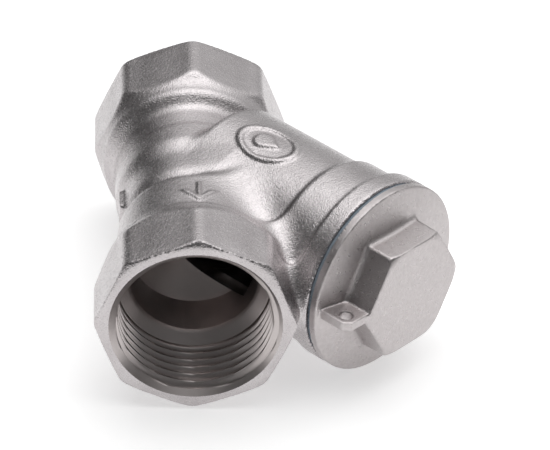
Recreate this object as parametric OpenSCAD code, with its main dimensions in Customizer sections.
// Y strainer with threaded pipe ends: a cast body, a screw cap with its flat gasket,
// and the screen cartridge that the cap holds against a seat inside the body.
// The pipe runs along Y with the outlet facing -Y, and the branch leans towards +X and the outlet.
// The origin is the centre of the outlet face. Every length is in millimetres.

/* [Pipe run] */
// Distance between the two end faces
face_to_face = 73.5; // [72:0.5:78]
// Width of each octagonal end, from flat to flat
octagon_width = 37; // [36.5:0.1:38]
// Length of each octagonal end
octagon_length = 12.2; // [11:0.1:13]
// Radius of the round land behind each octagon
land_radius = 18.1; // [17.8:0.1:18.2]
// Distance from an end face to the far edge of its land
land_end = 16.6; // [16:0.1:17]
// Smallest outside radius, halfway along the run
waist_radius = 14.6; // [14.4:0.1:15.2]
// Radius that the port is drilled to, which is the crest radius of its 1 inch pipe thread
port_radius = 15.15; // [14.8:0.05:15.3]
// Depth of the threaded part of each port
port_depth = 14.6; // [13:0.1:15]
// Radius of the waterway behind each port
waterway_radius = 12.7; // [12:0.1:13]

/* [Branch] */
// Angle between the branch and the outlet side of the run
branch_angle = 45; // [44:0.5:46]
// Distance from the outlet face to the point where the two axes cross
crossing_y = 54.9; // [54.5:0.1:56]
// Outside radius of the branch barrel
barrel_radius = 17.7; // [17.2:0.1:17.8]
// Outside radius of the thicker collar around the cap thread
collar_radius = 18.7; // [18.5:0.1:19]
// Radius of the flange at the mouth of the branch
flange_radius = 20; // [19.8:0.1:20]
// Distance along the branch from the axis crossing to its mouth
mouth_at = 50.5; // [50:0.1:51]
// Radius of the chamber around the screen
chamber_radius = 15.2; // [14.8:0.1:15.4]
// Distance along the branch to the seat that the screen stands on
seat_at = 11.5; // [11:0.1:12]

/* [Cap] */
// Radius of the cap's M33 thread
cap_thread_radius = 16.2; // [16:0.05:16.3]
// Length of the threaded spigot below the cap's flange
spigot_length = 11.5; // [10:0.5:12]
// Radius of the cap's flange
cap_radius = 20; // [19:0.1:20]
// Width of the cap's hexagon, from flat to flat
hexagon_width = 24; // [22:0.5:26]
// Length of the whole cap beyond the gasket
cap_height = 9.5; // [8.5:0.1:10]
// Turn of the hexagon when the cap is tight
cap_clocking = 0.8; // [-30:0.1:30]
// Thickness of the flat gasket
gasket_thickness = 0.8; // [0.5:0.1:2]

/* [Screen] */
// Outside radius of the perforated sleeve
sleeve_radius = 12.6; // [12.2:0.1:12.8]
// Thickness of the perforated sheet
sleeve_thickness = 0.5; // [0.4:0.1:0.8]
// Thickness of the fine mesh that lines the sleeve
mesh_thickness = 0.3; // [0.2:0.05:0.4]
// Radius of each perforation
perforation_radius = 2; // [1:0.1:2.2]
// Number of perforations around the sleeve
perforations_around = 10; // [6:1:11]
// Number of rows of perforations
perforation_rows = 5; // [3:1:5]

/* [Hidden] */
$fn = 96;

plate = [0.74, 0.72, 0.71];
fibre = [0.45, 0.5, 0.55];
steel = [0.66, 0.67, 0.68];
brass = [0.78, 0.66, 0.42];

past = 1;
run_middle = face_to_face / 2;
octagon_radius = octagon_width / 2 / cos(22.5);
corner_chamfer = 0.9;
corner_turned = 1.6;
clear_radius = octagon_radius + 0.2;
shoulder_drop = 2.5;
shoulder_run = 3.8;
port_lead = 1.7;
port_shoulder = 2;
outlet_bore_end = 26.4;
outlet_tip_radius = 4;
outlet_tip_length = 5.6;
inlet_bore_end = 26.5;
seat_hole_radius = 11.5;
seat_hole_start = -2;
seat_bore_radius = 13.9;
seat_bore_length = 4;
passage_radius = 12;
passage_offset = 5.6;
passage_end = 24.5;
mouth_thread_radius = cap_thread_radius + 0.3;
mouth_thread_length = 12.3;
dome_start = 4;
dome_end = 10;
collar_at = 36;
collar_rise = 2.3;
flange_slope_at = 44.4;
flange_at = 47.8;
edge_round = 0.4;

cap_at = mouth_at + gasket_thickness;
cap_rim = 1.6;
cap_slope = 1.2;
hexagon_ledge = 0.5;
cap_top = cap_at + cap_height;
hexagon_radius = hexagon_width / 2 / cos(30);
hexagon_face_radius = 12.4;
hexagon_chamfer = 0.8;
spigot_bore_radius = 13.4;
pocket_floor = cap_at + 1.4;
hexagon_bore_radius = 10;
hexagon_bore_floor = cap_at + 5.9;
lug_turn = -3.1;
lug_thickness = 2;
lug_reach = 19;
lug_corner = 1.2;
lug_hole_radius = 1.3;
lug_hole_reach = 16.5;
lug_hole_height = 6.5;

gasket_radius = 19.6;
gasket_gap = 0.4;

ring_length = 3;
ring_web = 1.2;
ring_fit = 0.05;
ring_hole_radius = 11.3;
seat_ring_radius = 13.6;
cap_ring_radius = 13.1;
screen_end_gap = 0.3;
screen_end = pocket_floor - screen_end_gap;
sleeve_start = seat_at + ring_web;
sleeve_end = screen_end - ring_web;
sleeve_length = sleeve_end - sleeve_start;
first_row = 5;
drill_turn = 0.25;
row_pitch = (sleeve_length - 2 * first_row) / (perforation_rows - 1);

function waist_curve_radius(half, rise) = (half * half + rise * rise) / (2 * rise);

// Turns the shape's own Z to run along the pipe, from the outlet towards the inlet
module along_run() {
    rotate([-90, 0, 0]) children();
}

// Turns the shape's own Z to run out along the branch, with its own Y pointing up
module along_branch(at = 0) {
    translate([0, crossing_y, 0]) rotate([90, 0, branch_angle]) translate([0, 0, at]) children();
}

// Draws its children at the outlet and again, turned round, at the inlet
module at_both_ends() {
    along_run() children();
    along_run() translate([0, 0, face_to_face]) mirror([0, 0, 1]) children();
}

module ring(outer, inner, length) {
    difference() {
        cylinder(r = outer, h = length);
        translate([0, 0, -past]) cylinder(r = inner, h = length + 2 * past);
    }
}

// One octagonal end with its corners turned off at the face
module octagon_end() {
    intersection() {
        cylinder(r = octagon_radius, h = octagon_length, $fn = 8);
        union() {
            cylinder(r1 = octagon_radius - corner_turned, r2 = clear_radius, h = corner_chamfer);
            translate([0, 0, corner_chamfer]) cylinder(r = clear_radius, h = octagon_length);
        }
    }
}

// The round part of the run: a land behind each octagon, a hollow shoulder and a long shallow waist
module waist() {
    start = octagon_length / 2;
    shoulder_end = land_end + shoulder_run;
    half = run_middle - shoulder_end;
    rise = land_radius - shoulder_drop - waist_radius;
    curve = waist_curve_radius(half, rise);
    shoulder = [for (a = [0 : 15 : 75]) [
        land_radius - shoulder_drop * sin(a),
        shoulder_end - shoulder_run * cos(a)
    ]];
    hollow = [for (i = [0 : 8]) let (d = half * (1 - i / 8)) [
        waist_radius + curve - sqrt(curve * curve - d * d),
        run_middle - d
    ]];
    front = concat([[0, start], [land_radius, start]], shoulder, hollow);
    back = [for (i = [len(front) - 2 : -1 : 0]) [front[i][0], face_to_face - front[i][1]]];
    along_run() rotate_extrude() polygon(concat(front, back));
}

// The branch from its domed inner end to the flange at its mouth
module barrel() {
    dome = [for (a = [0 : 10 : 90]) [
        barrel_radius * sin(a),
        dome_end - (dome_end - dome_start) * cos(a)
    ]];
    rise = collar_radius - barrel_radius;
    collar = [for (a = [0 : 30 : 90]) [
        collar_radius - rise * cos(a),
        collar_at + collar_rise * sin(a)
    ]];
    along_branch() rotate_extrude() polygon(concat(dome, collar, [
        [collar_radius, flange_slope_at],
        [flange_radius, flange_at],
        [flange_radius, mouth_at - edge_round],
        [flange_radius - edge_round, mouth_at],
        [0, mouth_at]
    ]));
}

// One port: lead-in, thread bore, shoulder and the waterway behind it
module port(bore_end) {
    translate([0, 0, -past]) cylinder(r = port_radius, h = port_depth + past);
    translate([0, 0, -past])
        cylinder(r1 = port_radius + port_lead + past, r2 = port_radius, h = port_lead + past);
    translate([0, 0, port_depth]) cylinder(r1 = port_radius, r2 = waterway_radius, h = port_shoulder);
    cylinder(r = waterway_radius, h = bore_end);
}

module waterways() {
    along_run() port(outlet_bore_end);
    along_run() translate([0, 0, outlet_bore_end])
        cylinder(r1 = waterway_radius, r2 = outlet_tip_radius, h = outlet_tip_length);
    along_run() translate([0, 0, face_to_face]) mirror([0, 0, 1]) port(inlet_bore_end);
}

// Everything bored down the branch: seat hole, seat, chamber, cap thread and the way to the outlet
module branch_bores() {
    along_branch(seat_hole_start) cylinder(r = seat_hole_radius, h = seat_at - seat_hole_start + past);
    along_branch(seat_at) cylinder(r = seat_bore_radius, h = mouth_at - seat_at);
    along_branch(seat_at + seat_bore_length) cylinder(r = chamber_radius, h = mouth_at - seat_at);
    along_branch(mouth_at - mouth_thread_length)
        cylinder(r = mouth_thread_radius, h = mouth_thread_length + past);
    along_branch(seat_at + seat_bore_length) translate([-passage_offset, 0, 0])
        cylinder(r = passage_radius, h = passage_end - seat_at - seat_bore_length);
}

module body() {
    color(plate) difference() {
        union() {
            at_both_ends() octagon_end();
            waist();
            barrel();
        }
        waterways();
        branch_bores();
    }
}

module cap_gasket() {
    color(fibre) along_branch(mouth_at)
        ring(gasket_radius, cap_thread_radius + gasket_gap, gasket_thickness);
}

// The cap's hexagon, with its corners turned down at the face
module hexagon_head() {
    chamfer_at = cap_height - hexagon_chamfer;
    intersection() {
        cylinder(r = hexagon_radius, h = cap_height, $fn = 6);
        union() {
            cylinder(r = hexagon_radius + hexagon_ledge, h = chamfer_at);
            translate([0, 0, chamfer_at])
                cylinder(r1 = hexagon_radius + hexagon_ledge, r2 = hexagon_face_radius, h = hexagon_chamfer);
        }
    }
}

// Small plate beside the hexagon, drilled for a sealing wire
module seal_lug() {
    start = cap_rim + cap_slope / 2;
    length = cap_height - start - lug_corner / 2;
    rotate([90, 0, 0]) translate([0, 0, -lug_thickness / 2]) linear_extrude(lug_thickness) difference() {
        polygon([
            [0, 0],
            [-lug_reach, 0],
            [-lug_reach, start + length - lug_corner],
            [-lug_reach + lug_corner, start + length],
            [0, start + length]
        ]);
        translate([-lug_hole_reach, lug_hole_height]) circle(r = lug_hole_radius);
    }
}

module cap() {
    color(plate) along_branch(cap_at) difference() {
        union() {
            translate([0, 0, -spigot_length]) cylinder(r = cap_thread_radius, h = spigot_length + past);
            cylinder(r = cap_radius, h = cap_rim);
            translate([0, 0, cap_rim])
                cylinder(r1 = cap_radius, r2 = hexagon_radius + hexagon_ledge, h = cap_slope);
            rotate([0, 0, cap_clocking]) hexagon_head();
            rotate([0, 0, cap_clocking + lug_turn]) seal_lug();
        }
        translate([0, 0, -spigot_length - past])
            cylinder(r = spigot_bore_radius, h = spigot_length + past + pocket_floor - cap_at);
        cylinder(r = hexagon_bore_radius, h = hexagon_bore_floor - cap_at);
    }
}

// An end ring of the screen: a web that the water passes through and a cup that grips the sleeve
module end_ring(outer) {
    difference() {
        cylinder(r = outer, h = ring_length);
        translate([0, 0, -past]) cylinder(r = ring_hole_radius, h = ring_length + 2 * past);
        translate([0, 0, ring_web]) cylinder(r = sleeve_radius + ring_fit, h = ring_length);
    }
}

module screen_seat_ring() {
    color(brass) along_branch(seat_at) end_ring(seat_ring_radius);
}

module screen_cap_ring() {
    color(brass) along_branch(screen_end) mirror([0, 0, 1]) end_ring(cap_ring_radius);
}

module screen_sleeve() {
    color(steel) along_branch(sleeve_start) difference() {
        ring(sleeve_radius, sleeve_radius - sleeve_thickness, sleeve_length);
        for (row = [0 : perforation_rows - 1], turn = [0 : perforations_around - 1])
            rotate([0, 0, (turn + drill_turn + (row % 2) / 2) * 360 / perforations_around])
                translate([sleeve_radius, 0, first_row + row * row_pitch])
                    rotate([0, 90, 0])
                        cylinder(r = perforation_radius, h = 2 * past, $fn = 24, center = true);
    }
}

module screen_mesh() {
    mesh_radius = sleeve_radius - sleeve_thickness - ring_fit;
    color(steel) along_branch(sleeve_start) ring(mesh_radius, mesh_radius - mesh_thickness, sleeve_length);
}

body();
cap_gasket();
cap();
screen_sleeve();
screen_mesh();
screen_seat_ring();
screen_cap_ring();
